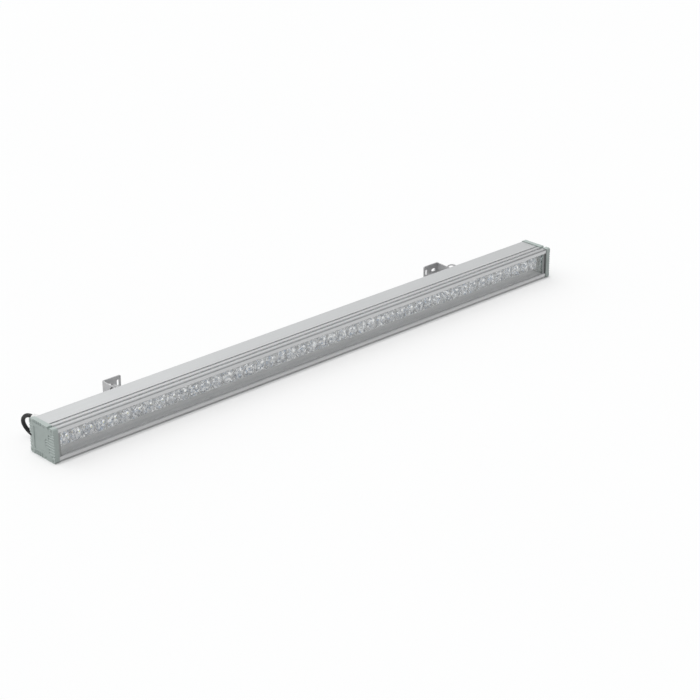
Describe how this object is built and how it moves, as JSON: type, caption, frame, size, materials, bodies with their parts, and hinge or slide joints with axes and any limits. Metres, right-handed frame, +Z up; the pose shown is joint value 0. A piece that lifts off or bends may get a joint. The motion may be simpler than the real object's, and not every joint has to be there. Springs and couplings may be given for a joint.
{
  "type": "outdoor wall washer light",
  "caption": "Long slim outdoor wall washer light with round lenses behind glass, moulded end caps and two sliding, tilting wall brackets.",
  "frame": {"origin": "middle of the length and of the depth from the caps' front to the wall plates' outer faces, on the surface that the light stands on", "axes": "+X along the light towards the end without the lead, -Y to the front with the glass, +Y to the wall, +Z up"},
  "size_m": [1, 0.106, 0.051],
  "materials": {
    "anodised": "satin anodised",
    "cap_plastic": "satin moulded grey-green",
    "rubber": "matt",
    "silicone": "satin",
    "screw_steel": "bright",
    "bracket_steel": "brushed stainless",
    "glass": "clear",
    "board_white": "white solder mask",
    "led": "satin",
    "lens": "clear",
    "white_plastic": "satin",
    "board_green": "satin",
    "black_plastic": "satin",
    "copper": "bright",
    "lead_black": "matt"
  },
  "bodies": {
    "light": {"housing": "anodised", "end_cap_left": "cap_plastic", "end_cap_right": "cap_plastic", "end_gasket_left": "rubber", "end_gasket_right": "rubber", "cap_screws_left": "screw_steel", "cap_screws_right": "screw_steel", "front_glass": "glass", "glass_seal_top": "silicone", "glass_seal_bottom": "silicone", "led_board_left": "board_white", "led_board_right": "board_white", "leds_left": "led", "leds_right": "led", "lenses_left": "lens", "lenses_right": "lens", "board_screws_left": "screw_steel", "board_screws_right": "screw_steel", "board_link": "white_plastic", "driver_tray": "white_plastic", "driver_board": "board_green", "driver_parts": "black_plastic", "terminal_block": "white_plastic", "lead_cores": "copper", "feed_wires": "lead_black", "feed_grommet": "rubber", "gland_body": "white_plastic", "gland_nut": "white_plastic", "gland_seal": "rubber", "gland_locknut": "white_plastic", "supply_lead": "lead_black"},
    "left_slider": {"mount_bracket_left": "bracket_steel", "slot_screws_left": "screw_steel", "slot_nuts_left": "screw_steel", "pivot_bolt_left": "screw_steel", "pivot_spacer_left": "white_plastic", "pivot_nut_left": "screw_steel"},
    "right_slider": {"mount_bracket_right": "bracket_steel", "slot_screws_right": "screw_steel", "slot_nuts_right": "screw_steel", "pivot_bolt_right": "screw_steel", "pivot_spacer_right": "white_plastic", "pivot_nut_right": "screw_steel"},
    "left_wall_arm": {"wall_bracket_left": "bracket_steel", "lock_screw_left": "screw_steel", "lock_washer_left": "screw_steel", "lock_nut_left": "screw_steel"},
    "right_wall_arm": {"wall_bracket_right": "bracket_steel", "lock_screw_right": "screw_steel", "lock_washer_right": "screw_steel", "lock_nut_right": "screw_steel"}
  },
  "joints": [
    {"name": "left_bracket_slide", "type": "slide", "parent": "light", "child": "left_slider", "axis": [1, 0, 0], "range_m": [-0.06, 0.2]},
    {"name": "right_bracket_slide", "type": "slide", "parent": "light", "child": "right_slider", "axis": [1, 0, 0], "range_m": [-0.2, 0.135]},
    {"name": "left_wall_tilt", "type": "hinge", "parent": "left_slider", "child": "left_wall_arm", "pos_m": [-0.34375, 0.0166, 0.0255], "axis": [1, 0, 0], "range_deg": [-88, 88]},
    {"name": "right_wall_tilt", "type": "hinge", "parent": "right_slider", "child": "right_wall_arm", "pos_m": [0.34375, 0.0166, 0.0255], "axis": [1, 0, 0], "range_deg": [-88, 88]}
  ]
}
